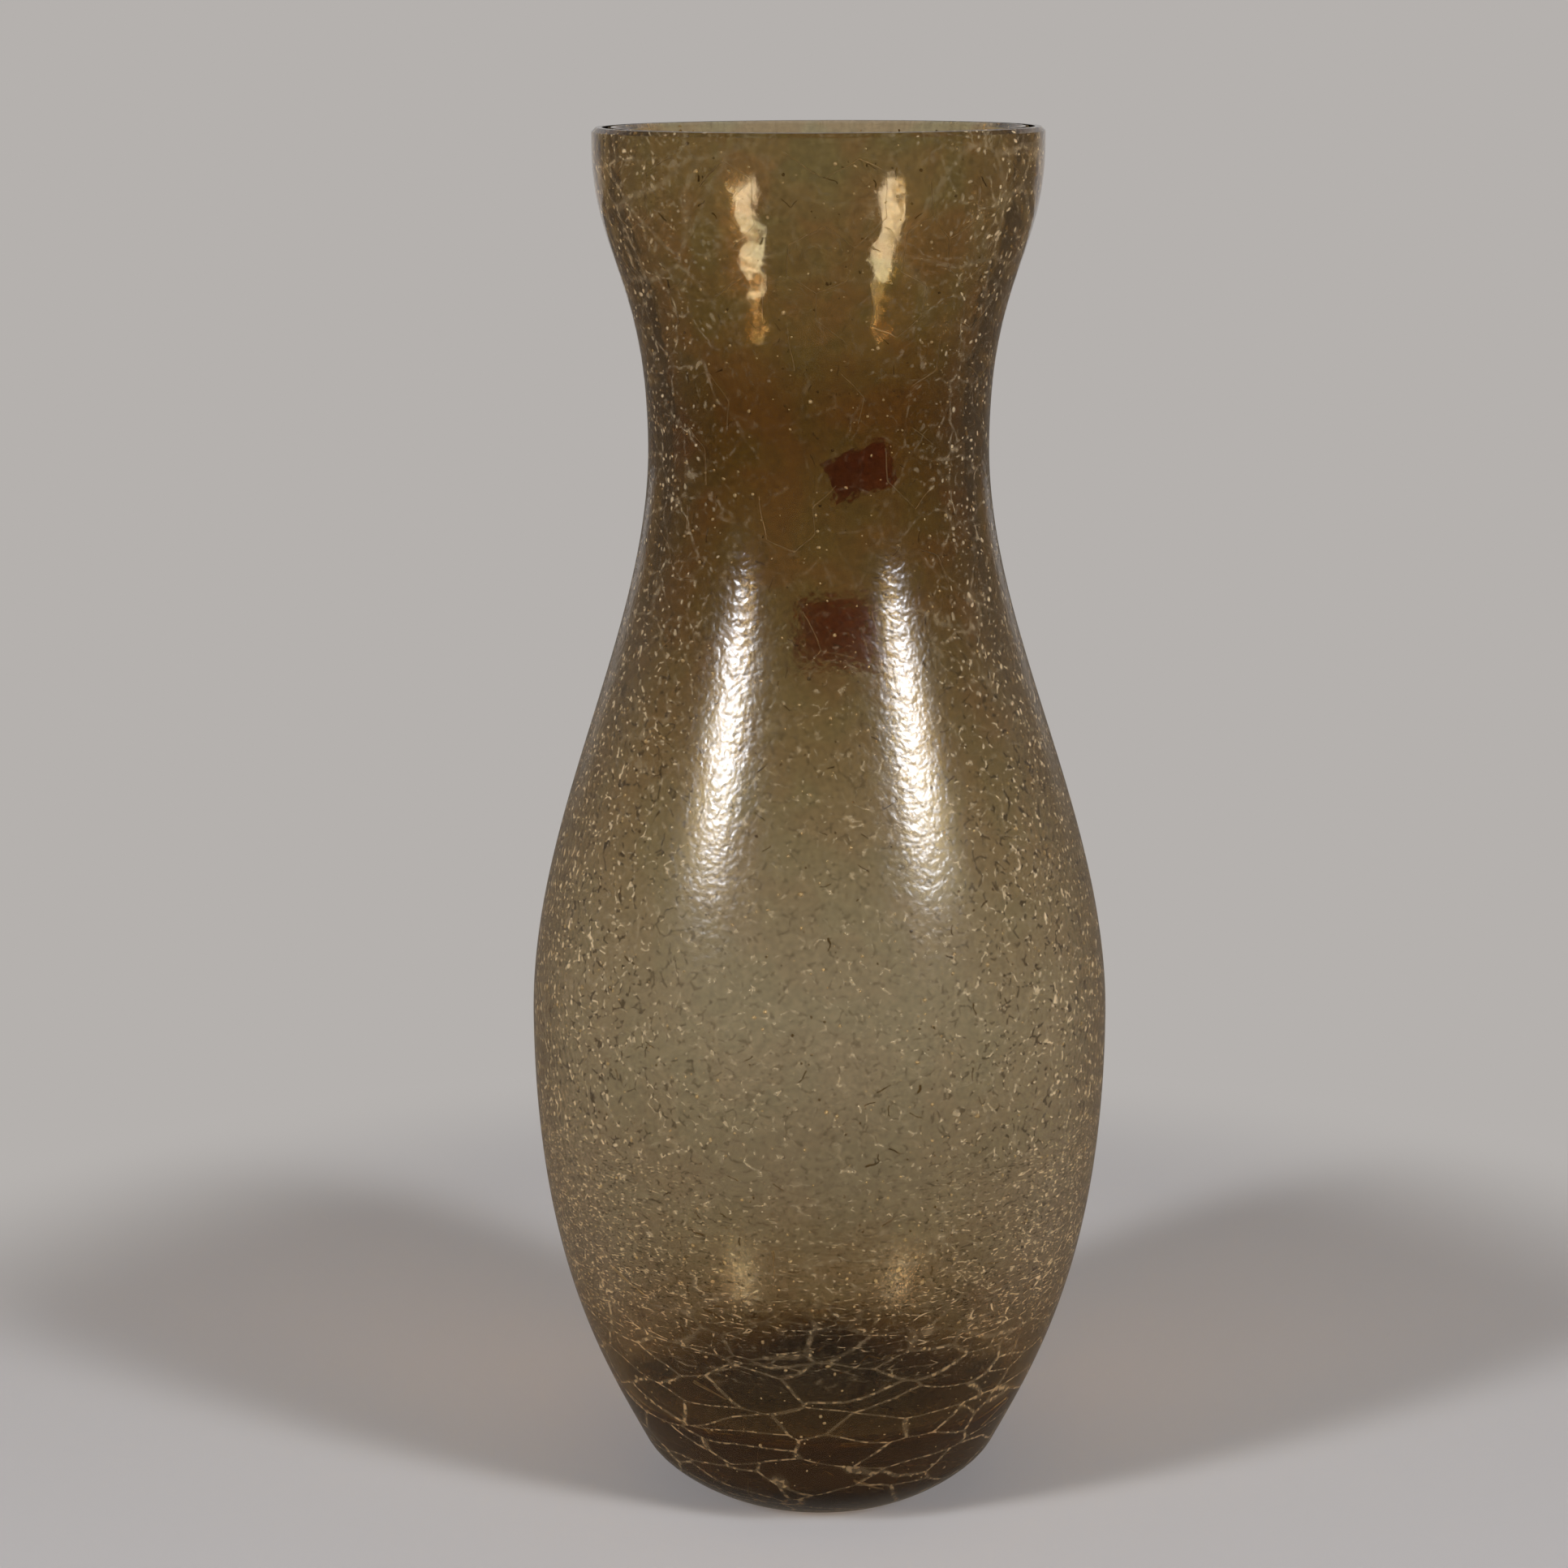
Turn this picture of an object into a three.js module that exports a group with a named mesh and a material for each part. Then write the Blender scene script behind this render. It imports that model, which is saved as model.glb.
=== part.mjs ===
import * as THREE from "three";

// Baluster vase of blown glass: a crackled amber layer inside a clear casing, with a ground flat rim, a thick bottom
// and two small blank paper labels on the back. Millimetres, +Z up, origin at the centre of the flat base.
// The labels are at the back, which is +Y; the front is -Y.

// Driving dimensions: outside of the vase, from the table up. Each stretch of height stands on the one before it.
const FOOT_RADIUS = 33; // flat ring that stands on the table
const HEEL_RADIUS = 53; // where the wall turns under, above the foot
const HEEL_HEIGHT = 15;
const BODY_HEIGHT = 129; // heel to the widest point of the belly
const BELLY_RADIUS = 84;
const SHOULDER_HEIGHT = 167; // belly to the narrowest point of the neck
const NECK_RADIUS = 48.5;
const FLARE_HEIGHT = 84; // neck to the lip
const LIP_HEIGHT = 5; // straight lip below the rim
const RIM_RADIUS = 63.4;
const RIM_BEVEL = 1.2; // ground edge, outside and inside

// Driving dimensions: the glass
const CASING_FLOOR = 3; // clear glass under the amber bottom
const CASING_AT_HEEL = 1.2;
const CASING_AT_BELLY = 2.3;
const CASING_AT_NECK = 2.6;
const CASING_AT_RIM = 4.6;
const LAYER_GAP = 0.3; // hairline between the clear and the amber glass
const AMBER_FLOOR = 17.5;
const AMBER_AT_HEEL = 2.2;
const AMBER_AT_BELLY = 1.3;
const AMBER_AT_NECK = 3.8;
const AMBER_AT_RIM = 2.5;
const BOWL_DEPTH = 14; // height over which the inside wall rounds into the inside bottom

// Driving dimensions: the labels, whose heights are measured down from the narrowest point of the neck
const LABEL_THICKNESS = 0.2;
const LABEL_GAP = 0.3; // between the paper and the glass
const NECK_LABEL_WIDTH = 23;
const NECK_LABEL_HEIGHT = 14;
const NECK_LABEL_DROP = 13.2;
const NECK_LABEL_BEARING = 16.3; // degrees round from the back, towards +X
const NECK_LABEL_TILT = 20; // degrees, anticlockwise as seen from the front, through the glass
const SHOULDER_LABEL_WIDTH = 26.5;
const SHOULDER_LABEL_HEIGHT = 22;
const SHOULDER_LABEL_DROP = 62.9;
const SHOULDER_LABEL_BEARING = 5.6;
const SHOULDER_LABEL_TILT = 0;

// Fullness of the curves: how far each end of a curve keeps its own direction, as a share of that curve's height
const FLARE_PULL = { neck: 0.56, lip: 0.36 };
const SHOULDER_PULL = { belly: 0.353, neck: 0.319 };
const BODY_PULL = { heel: 0.22, belly: 0.559 };
const HEEL_PULL = { foot: 0.12, heel: 0.53 };
const HEEL_SLOPE = 62.9; // degrees of the wall from level, where it turns under
const BOTTOM_PULL = { wall: 0.6, middle: 0.62 }; // for the rounded bottoms inside, as shares of depth and radius

// Facets
const ROUND_STEPS = 48;
const STEPS = { heel: 4, body: 8, shoulder: 9, flare: 7, bottom: 7 };
const LABEL_STEPS = { across: 6, up: 4 };

const neckHeight = HEEL_HEIGHT + BODY_HEIGHT + SHOULDER_HEIGHT;
const lipHeight = neckHeight + FLARE_HEIGHT;
const rimHeight = lipHeight + LIP_HEIGHT;
const bellyHeight = HEEL_HEIGHT + BODY_HEIGHT;

const glass = {
  clear: new THREE.MeshStandardMaterial({ color: 0xc9c4b8, roughness: 0.03, metalness: 0, transparent: true, opacity: 0.3 }),
  amber: new THREE.MeshStandardMaterial({ color: 0x6b5027, roughness: 0.05, metalness: 0, transparent: true, opacity: 0.7 }),
};
const paper = new THREE.MeshStandardMaterial({ color: 0x4a1f1a, roughness: 0.7, metalness: 0 });

// A curve in the plane of radius and height, from one point to another, leaving and arriving along given directions.
function bend(from, leaving, to, arriving) {
  return new THREE.CubicBezierCurve(
    from,
    from.clone().add(leaving),
    to.clone().sub(arriving),
    to,
  );
}

const up = (length) => new THREE.Vector2(0, length);
const heelTop = new THREE.Vector2(HEEL_RADIUS, HEEL_HEIGHT);
const belly = new THREE.Vector2(BELLY_RADIUS, bellyHeight);
const neck = new THREE.Vector2(NECK_RADIUS, neckHeight);
const lip = new THREE.Vector2(RIM_RADIUS, lipHeight);
const heelAngle = THREE.MathUtils.degToRad(HEEL_SLOPE);
const alongHeel = new THREE.Vector2(Math.cos(heelAngle), Math.sin(heelAngle));

const heelCurve = bend(
  new THREE.Vector2(FOOT_RADIUS, 0),
  new THREE.Vector2(HEEL_PULL.foot * (HEEL_RADIUS - FOOT_RADIUS), 0),
  heelTop,
  alongHeel.clone().multiplyScalar(HEEL_PULL.heel * HEEL_HEIGHT),
);
const bodyCurve = bend(
  heelTop,
  alongHeel.clone().multiplyScalar(BODY_PULL.heel * BODY_HEIGHT),
  belly,
  up(BODY_PULL.belly * BODY_HEIGHT),
);
const shoulderCurve = bend(
  belly,
  up(SHOULDER_PULL.belly * SHOULDER_HEIGHT),
  neck,
  up(SHOULDER_PULL.neck * SHOULDER_HEIGHT),
);
const flareCurve = bend(neck, up(FLARE_PULL.neck * FLARE_HEIGHT), lip, up(FLARE_PULL.lip * FLARE_HEIGHT));

// Thickness of each glass where the stretches of the wall meet.
const layersAt = {
  heel: { casing: CASING_AT_HEEL, amber: AMBER_AT_HEEL },
  belly: { casing: CASING_AT_BELLY, amber: AMBER_AT_BELLY },
  neck: { casing: CASING_AT_NECK, amber: AMBER_AT_NECK },
  rim: { casing: CASING_AT_RIM, amber: AMBER_AT_RIM },
};

// The wall from the heel to the rim: each station has its outside point, the outward direction there and the
// thickness of both glasses, which passes smoothly from one stretch's end to the next.
const wall = [];
function addStations(curve, steps, below, above, fromStep) {
  for (let step = fromStep; step <= steps; step++) {
    const share = step / steps;
    const eased = THREE.MathUtils.smoothstep(share, 0, 1);
    const tangent = curve.getTangent(share);
    wall.push({
      point: curve.getPoint(share),
      outward: new THREE.Vector2(tangent.y, -tangent.x),
      casing: THREE.MathUtils.lerp(below.casing, above.casing, eased),
      amber: THREE.MathUtils.lerp(below.amber, above.amber, eased),
    });
  }
}
addStations(bodyCurve, STEPS.body, layersAt.heel, layersAt.belly, 0);
addStations(shoulderCurve, STEPS.shoulder, layersAt.belly, layersAt.neck, 1);
addStations(flareCurve, STEPS.flare, layersAt.neck, layersAt.rim, 1);
const rimStation = {
  point: new THREE.Vector2(RIM_RADIUS, rimHeight),
  outward: new THREE.Vector2(1, 0),
  ...layersAt.rim,
};
wall.push(rimStation);

function inset(station, depth) {
  return station.point.clone().addScaledVector(station.outward, -depth);
}

// A surface inside the glass, from the middle of its bottom up to the rim: it runs parallel to the outside wall at a
// depth that depends on the station, and rounds into its bottom below the height where it leaves the wall.
function innerSurface(depthAt, floorHeight, leaveHeight) {
  const walled = wall.filter((station) => inset(station, depthAt(station)).y >= leaveHeight);
  const start = inset(walled[0], depthAt(walled[0]));
  const fall = start.y - floorHeight;
  const alongWall = new THREE.Vector2(-walled[0].outward.y, walled[0].outward.x);
  const bottomCurve = bend(
    new THREE.Vector2(0, floorHeight),
    new THREE.Vector2(BOTTOM_PULL.middle * start.x, 0),
    start,
    alongWall.multiplyScalar(BOTTOM_PULL.wall * fall),
  );
  return [
    ...bottomCurve.getPoints(STEPS.bottom).slice(0, -1),
    ...walled.map((station) => inset(station, depthAt(station))),
  ];
}

// The last point of a surface is at the rim: this replaces it with two that cut its corner off by the bevel.
function bevelled(surface, towardsGlass) {
  const corner = surface[surface.length - 1];
  return [
    ...surface.slice(0, -1),
    new THREE.Vector2(corner.x, corner.y - RIM_BEVEL),
    new THREE.Vector2(corner.x + towardsGlass * RIM_BEVEL, corner.y),
  ];
}

const casingDepth = (station) => station.casing;
const amberOuterDepth = (station) => station.casing + LAYER_GAP;
const cavityDepth = (station) => station.casing + LAYER_GAP + station.amber;
const cavityFloor = CASING_FLOOR + LAYER_GAP + AMBER_FLOOR;

const outside = [
  new THREE.Vector2(0, 0),
  ...heelCurve.getPoints(STEPS.heel).slice(0, -1),
  ...wall.map((station) => station.point.clone()),
];
const casingInside = innerSurface(casingDepth, CASING_FLOOR, HEEL_HEIGHT);
const amberOutside = innerSurface(amberOuterDepth, CASING_FLOOR + LAYER_GAP, HEEL_HEIGHT);
const cavity = innerSurface(cavityDepth, cavityFloor, cavityFloor + BOWL_DEPTH);

// A solid of revolution between an outer and an inner surface that both start on the axis and end at the rim.
function turned(outer, inner) {
  const shape = new THREE.LatheGeometry([...outer, ...inner.toReversed()], ROUND_STEPS);
  shape.rotateX(Math.PI / 2);
  return shape;
}

// The outside of the vase at a height: its radius and its outward direction, between two stations.
function outsideAt(height) {
  const above = wall.findIndex((station) => station.point.y >= height);
  const high = wall[above];
  const low = wall[above - 1];
  const share = (height - low.point.y) / (high.point.y - low.point.y);
  return {
    radius: THREE.MathUtils.lerp(low.point.x, high.point.x, share),
    outward: low.outward.clone().lerp(high.outward, share).normalize(),
  };
}

// A sheet of paper that follows the outside of the glass: a grid of points, laid flat, turned by the tilt, and wrapped
// round the vase at the given height and bearing. Its inner face lies one label gap off the glass.
function labelSheet({ width, height, drop, bearing, tilt }) {
  const turn = THREE.MathUtils.degToRad(tilt);
  const middleHeight = neckHeight - drop;
  const middleRadius = outsideAt(middleHeight).radius;
  const positions = [];
  const pointIndex = (side, i, j) => (side * (LABEL_STEPS.up + 1) + j) * (LABEL_STEPS.across + 1) + i;
  for (const side of [0, 1]) {
    for (let j = 0; j <= LABEL_STEPS.up; j++) {
      for (let i = 0; i <= LABEL_STEPS.across; i++) {
        const flatX = (i / LABEL_STEPS.across - 0.5) * width;
        const flatY = (j / LABEL_STEPS.up - 0.5) * height;
        const across = flatX * Math.cos(turn) - flatY * Math.sin(turn);
        const rise = flatX * Math.sin(turn) + flatY * Math.cos(turn);
        const place = outsideAt(middleHeight + rise);
        const standOff = LABEL_GAP + side * LABEL_THICKNESS;
        const radius = place.radius + place.outward.x * standOff;
        const angle = THREE.MathUtils.degToRad(bearing) + across / middleRadius;
        positions.push(
          radius * Math.sin(angle),
          radius * Math.cos(angle),
          middleHeight + rise + place.outward.y * standOff,
        );
      }
    }
  }
  const faces = [];
  const quad = (a, b, c, d) => faces.push(a, b, c, a, c, d);
  for (let j = 0; j < LABEL_STEPS.up; j++) {
    for (let i = 0; i < LABEL_STEPS.across; i++) {
      quad(pointIndex(0, i, j), pointIndex(0, i + 1, j), pointIndex(0, i + 1, j + 1), pointIndex(0, i, j + 1));
      quad(pointIndex(1, i, j), pointIndex(1, i, j + 1), pointIndex(1, i + 1, j + 1), pointIndex(1, i + 1, j));
    }
  }
  for (let i = 0; i < LABEL_STEPS.across; i++) {
    const top = LABEL_STEPS.up;
    quad(pointIndex(0, i, 0), pointIndex(1, i, 0), pointIndex(1, i + 1, 0), pointIndex(0, i + 1, 0));
    quad(pointIndex(0, i, top), pointIndex(0, i + 1, top), pointIndex(1, i + 1, top), pointIndex(1, i, top));
  }
  for (let j = 0; j < LABEL_STEPS.up; j++) {
    const end = LABEL_STEPS.across;
    quad(pointIndex(0, 0, j), pointIndex(0, 0, j + 1), pointIndex(1, 0, j + 1), pointIndex(1, 0, j));
    quad(pointIndex(0, end, j), pointIndex(1, end, j), pointIndex(1, end, j + 1), pointIndex(0, end, j + 1));
  }
  const shape = new THREE.BufferGeometry();
  shape.setAttribute("position", new THREE.Float32BufferAttribute(positions, 3));
  shape.setIndex(faces);
  shape.computeVertexNormals();
  return shape;
}

const vase = new THREE.Group();
vase.name = "baluster_vase";

function add(name, shape, material) {
  const mesh = new THREE.Mesh(shape, material);
  mesh.name = name;
  vase.add(mesh);
}

add("clear_outer_casing", turned(bevelled(outside, -1), casingInside), glass.clear);
add("amber_inner_layer", turned(amberOutside, bevelled(cavity, 1)), glass.amber);
add(
  "neck_label",
  labelSheet({
    width: NECK_LABEL_WIDTH,
    height: NECK_LABEL_HEIGHT,
    drop: NECK_LABEL_DROP,
    bearing: NECK_LABEL_BEARING,
    tilt: NECK_LABEL_TILT,
  }),
  paper,
);
add(
  "shoulder_label",
  labelSheet({
    width: SHOULDER_LABEL_WIDTH,
    height: SHOULDER_LABEL_HEIGHT,
    drop: SHOULDER_LABEL_DROP,
    bearing: SHOULDER_LABEL_BEARING,
    tilt: SHOULDER_LABEL_TILT,
  }),
  paper,
);

export default vase;
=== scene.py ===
"""The looks of a baluster vase of crackled amber glass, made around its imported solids.

The vase is amber glass under a clear casing, fused to it all over. The crackle lies where the two meet:
fine broken lines and dots over the neck and belly, and large cells at the bottom. Two small blank paper
labels are stuck to the back. Lengths are in metres, written as millimetres times MM.
"""

import math

import bpy
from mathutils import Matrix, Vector


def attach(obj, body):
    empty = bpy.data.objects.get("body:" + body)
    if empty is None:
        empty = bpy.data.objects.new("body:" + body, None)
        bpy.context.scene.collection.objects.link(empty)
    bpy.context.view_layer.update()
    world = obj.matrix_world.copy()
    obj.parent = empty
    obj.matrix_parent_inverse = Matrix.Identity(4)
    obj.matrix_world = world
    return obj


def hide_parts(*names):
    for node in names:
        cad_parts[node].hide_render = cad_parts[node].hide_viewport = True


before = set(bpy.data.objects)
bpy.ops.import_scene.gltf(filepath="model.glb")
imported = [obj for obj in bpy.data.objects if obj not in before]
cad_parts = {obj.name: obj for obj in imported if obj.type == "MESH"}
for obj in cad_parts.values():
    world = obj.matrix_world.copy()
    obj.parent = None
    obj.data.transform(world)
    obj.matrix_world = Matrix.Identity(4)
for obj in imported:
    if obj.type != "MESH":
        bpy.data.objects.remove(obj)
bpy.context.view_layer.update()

MM = 0.001

# The outline of the outside, from the table up, as the solids have it
FOOT_RADIUS = 33 * MM
HEEL_RADIUS, HEEL_HEIGHT, HEEL_SLOPE = 53 * MM, 15 * MM, math.radians(62.9)
BODY_HEIGHT, BELLY_RADIUS = 129 * MM, 84 * MM
SHOULDER_HEIGHT, NECK_RADIUS = 167 * MM, 48.5 * MM
FLARE_HEIGHT, RIM_RADIUS, LIP_HEIGHT = 84 * MM, 63.4 * MM, 5 * MM
RIM_BEVEL = 1.2 * MM

# How strongly each curve is pulled straight on at its two ends, as a share of its height or reach
HEEL_PULL = {"foot": 0.12, "heel": 0.53}
BODY_PULL = {"heel": 0.22, "belly": 0.559}
SHOULDER_PULL = {"belly": 0.353, "neck": 0.319}
FLARE_PULL = {"neck": 0.56, "lip": 0.36}
BOTTOM_PULL = {"wall": 0.6, "middle": 0.62}

# How finely the curves are drawn
ROUND_STEPS = 192
HEEL_STEPS, BODY_STEPS, SHOULDER_STEPS = 12, 44, 56
FLARE_STEPS, LIP_STEPS, BOTTOM_STEPS = 40, 2, 20

# The two layers of glass. The solids leave a gap between them, and here, fused, they have next to none
CASING = {"heel": 1.2 * MM, "belly": 2.3 * MM, "neck": 2.6 * MM, "rim": 4.6 * MM}
AMBER = {"heel": 2.2 * MM, "belly": 1.3 * MM, "neck": 3.8 * MM, "rim": 2.5 * MM}
CASING_FLOOR, AMBER_FLOOR = 3 * MM, 17.5 * MM
LAYER_GAP, FUSED_GAP = 0.3 * MM, 0.02 * MM
BOWL_DEPTH = 14 * MM
GLASS_INDEX = 1.5

# Light lost in each millimetre of glass, in red, green and blue
CLEAR_ABSORPTION = (0.0155, 0.0186, 0.0236)
AMBER_ABSORPTION = (0.119, 0.172, 0.315)
# A volume's colour is its loss as a share of a density, which is set just above the largest loss
DENSITY_MARGIN = 1.02

# Below this height the crackle's cells are pressed flat, and the larger the number, the flatter
FLAT_CELLS_BELOW = 120 * MM
WIDE_FLATTENING, NARROW_FLATTENING = 1.5, 3.0

# Where there is crackle of real geometry: between these heights, and never near the middle of the base
CRACKED_FROM, CRACKED_RADIUS, CLEAR_RIM = 12 * MM, 25 * MM, 2 * MM

# The stage: plain grey paper, and a room that is dark for reflections. The lit floor passes into the plain
# backdrop between two distances, and mirrored paper ends between two angles off straight back
BACKDROP, DARK_ROOM = "#B5B1AE", "#5E554A"
FLOOR_RADIUS, FLOOR_SIDES = 3.0, 96
OPEN_FLOOR, FAR_FLOOR = 0.27, 0.42
FRONT_FILL, BACK_FILL = 0.15, 0.22
MIRRORED_DIM = 0.9
PAPER_EDGE = math.radians(22), math.radians(42)

# The two softboxes, in front and to the sides, pointed at the belly. Each fades towards its edges, which
# SOFT_EDGE makes up for, and is SHINE times as bright in reflections
LAMP_DISTANCE, LAMP_HEIGHT = 2.4, 1.1
LAMP_ELEVATION, LAMP_BEARING = math.radians(27), math.radians(49)
LAMP_WIDTH = {"left": 0.5, "right": 0.62}
LAMP_GLOW = {"left": 29.5, "right": 24.0}
SOFT_EDGE, SHINE = 3.9, 2.4
LIT_MIDDLE = Vector((0, 0, 0.2))

# The camera: the photograph is a whole frame from 1 m in front, a little above the rim, looking down
PHOTO_SIDE, FOCAL_PIXELS, AXIS_PIXEL = 1932, 4338, 1007
SENSOR_WIDTH = 36.0
CAMERA_DISTANCE, CAMERA_HEIGHT = 1.0, 0.4293
CAMERA_PITCH, CAMERA_ROLL = math.radians(12.26), math.radians(0.19)

# The kinds of node used most, and the settings that go with them
MATH, VECTORS, RANGE = "ShaderNodeMath", "ShaderNodeVectorMath", "ShaderNodeMapRange"
NOISE, MIXED_LIGHT = "ShaderNodeTexNoise", "ShaderNodeMixShader"
SOFT = {"interpolation_type": "SMOOTHSTEP"}
COLOURS = {"data_type": "RGBA"}
# The sockets of a Mix node's two colours
FIRST, SECOND = 6, 7
WHITE = (1, 1, 1, 1)


def linear(hex_colour):
    """An sRGB hex colour as linear red, green, blue and alpha."""
    shares = [int(hex_colour[i : i + 2], 16) / 255 for i in (1, 3, 5)]
    return (*[s / 12.92 if s <= 0.04045 else ((s + 0.055) / 1.055) ** 2.4 for s in shares], 1.0)


def add(tree, kind, inputs=(), **settings):
    """Adds a node with its settings, and gives each input its value, or links it to a socket or to the
    first output of a node. Inputs are named, or listed in the node's own order."""
    node = tree.nodes.new(kind)
    for name, value in settings.items():
        setattr(node, name, value)
    named = inputs if isinstance(inputs, dict) else dict(enumerate(inputs))
    for name, value in named.items():
        if isinstance(value, bpy.types.Node):
            value = next(socket for socket in value.outputs if socket.enabled)
        if isinstance(value, bpy.types.NodeSocket):
            tree.links.new(value, node.inputs[name])
        else:
            node.inputs[name].default_value = value
    return node


# Outline

def curve_points(start, leaving, end, arriving, steps):
    """Points and outward directions along a curve in the plane of radius and height, ends included."""
    a, b, c, d = start, start + leaving, end - arriving, end
    made = []
    for i in range(steps + 1):
        t = i / steps
        s = 1 - t
        point = s**3 * a + 3 * s * s * t * b + 3 * s * t * t * c + t**3 * d
        along = (s * s * (b - a) + 2 * s * t * (c - b) + t * t * (d - c)).normalized()
        made.append((point, Vector((along.y, -along.x))))
    return made


def smooth(t):
    return t * t * (3 - 2 * t)


def up(length):
    return Vector((0, length))


heel_top = Vector((HEEL_RADIUS, HEEL_HEIGHT))
belly = Vector((BELLY_RADIUS, HEEL_HEIGHT + BODY_HEIGHT))
neck = Vector((NECK_RADIUS, belly.y + SHOULDER_HEIGHT))
lip = Vector((RIM_RADIUS, neck.y + FLARE_HEIGHT))
rim = lip + up(LIP_HEIGHT)
along_heel = Vector((math.cos(HEEL_SLOPE), math.sin(HEEL_SLOPE)))


def wall_stations():
    """The wall from the heel to the rim: each station's outside point and outward direction, and how
    thick the casing and the amber glass are there."""
    stretches = [
        (heel_top, along_heel * BODY_PULL["heel"] * BODY_HEIGHT,
         belly, up(BODY_PULL["belly"] * BODY_HEIGHT), BODY_STEPS, "heel", "belly"),
        (belly, up(SHOULDER_PULL["belly"] * SHOULDER_HEIGHT),
         neck, up(SHOULDER_PULL["neck"] * SHOULDER_HEIGHT), SHOULDER_STEPS, "belly", "neck"),
        (neck, up(FLARE_PULL["neck"] * FLARE_HEIGHT),
         lip, up(FLARE_PULL["lip"] * FLARE_HEIGHT), FLARE_STEPS, "neck", "rim"),
        (lip, up(LIP_HEIGHT / 3), rim, up(LIP_HEIGHT / 3), LIP_STEPS, "rim", "rim"),
    ]
    stations = []
    for start, leaving, end, arriving, steps, below, above in stretches:
        for i, (point, outward) in enumerate(curve_points(start, leaving, end, arriving, steps)):
            if i or not stations:
                share = smooth(i / steps)
                layers = [glass[below] * (1 - share) + glass[above] * share for glass in (CASING, AMBER)]
                stations.append((point, outward, *layers))
    return stations


wall = wall_stations()


def inner_surface(depth_at, floor_height, leave_height):
    """A surface inside the glass, from the middle of its bottom up to the rim, at a depth below the
    outside wall. It leaves the wall for the bottom at a height."""
    inset = [
        (point - outward * depth_at(casing, amber), outward) for point, outward, casing, amber in wall
    ]
    walled = [(point, outward) for point, outward in inset if point.y >= leave_height]
    start, outward = walled[0]
    along_wall = Vector((-outward.y, outward.x))
    bottom = curve_points(
        up(floor_height),
        Vector((BOTTOM_PULL["middle"] * start.x, 0)),
        start,
        along_wall * BOTTOM_PULL["wall"] * (start.y - floor_height),
        BOTTOM_STEPS,
    )
    return [point for point, _ in bottom[:-1]] + [point for point, _ in walled]


def bevelled(surface, towards_glass):
    """The surface with its corner at the rim cut off."""
    corner = surface[-1]
    return surface[:-1] + [corner - up(RIM_BEVEL), corner + Vector((towards_glass * RIM_BEVEL, 0))]


heel_stretch = curve_points(
    Vector((FOOT_RADIUS, 0)),
    Vector((HEEL_PULL["foot"] * (HEEL_RADIUS - FOOT_RADIUS), 0)),
    heel_top,
    along_heel * HEEL_PULL["heel"] * HEEL_HEIGHT,
    HEEL_STEPS,
)
outside = [up(0)] + [point for point, _ in heel_stretch[:-1]] + [point for point, *_ in wall]
to_casing, to_amber = (LAYER_GAP - FUSED_GAP) / 2, (LAYER_GAP + FUSED_GAP) / 2
casing_inside = inner_surface(
    lambda casing, amber: casing + to_casing, CASING_FLOOR + to_casing, HEEL_HEIGHT)
amber_outside = inner_surface(
    lambda casing, amber: casing + to_amber, CASING_FLOOR + to_amber, HEEL_HEIGHT)
cavity_floor = CASING_FLOOR + LAYER_GAP + AMBER_FLOOR
cavity = inner_surface(
    lambda casing, amber: casing + LAYER_GAP + amber, cavity_floor, cavity_floor + BOWL_DEPTH)


def outline_mesh(name, points):
    """A line of edges through points of radius and height, drawn in the plane of X and Z."""
    mesh = bpy.data.meshes.new(name)
    mesh.from_pydata([(p.x, 0, p.y) for p in points], [(i, i + 1) for i in range(len(points) - 1)], [])
    return mesh


# Geometry Nodes

def new_tree(name, sizes):
    """A Geometry Nodes tree that takes and gives geometry, and what its inputs give. Each named input
    is a whole number, a number or a material, as its default is."""
    tree = bpy.data.node_groups.new(name, "GeometryNodeTree")
    tree.interface.new_socket("Geometry", in_out="INPUT", socket_type="NodeSocketGeometry")
    for label, default in sizes.items():
        kind = {int: "NodeSocketInt", float: "NodeSocketFloat"}.get(type(default), "NodeSocketMaterial")
        socket = tree.interface.new_socket(label, in_out="INPUT", socket_type=kind)
        if default is not None:
            socket.default_value = default
    tree.interface.new_socket("Geometry", in_out="OUTPUT", socket_type="NodeSocketGeometry")
    return tree, add(tree, "NodeGroupInput").outputs


def give_out(tree, geometry, material):
    """Ends a tree: makes its instances real, sets their material and gives the geometry out."""
    real = add(tree, "GeometryNodeRealizeInstances", [geometry])
    painted = add(tree, "GeometryNodeSetMaterial", {"Geometry": real, "Material": material})
    add(tree, "NodeGroupOutput", [painted])


def grown(name, tree, source, sizes):
    """What a Geometry Nodes tree makes of a source mesh, as an object with a plain mesh."""
    holder = bpy.data.objects.new(name + "_source", source)
    bpy.context.scene.collection.objects.link(holder)
    modifier = holder.modifiers.new(name, "NODES")
    modifier.node_group = tree
    for socket in tree.interface.items_tree:
        if socket.in_out == "INPUT" and socket.name in sizes:
            modifier[socket.identifier] = sizes[socket.name]
    graph = bpy.context.evaluated_depsgraph_get()
    mesh = bpy.data.meshes.new_from_object(
        holder.evaluated_get(graph), preserve_all_data_layers=True, depsgraph=graph
    )
    bpy.data.objects.remove(holder)
    piece = bpy.data.objects.new(name, mesh)
    bpy.context.scene.collection.objects.link(piece)
    return piece


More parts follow.
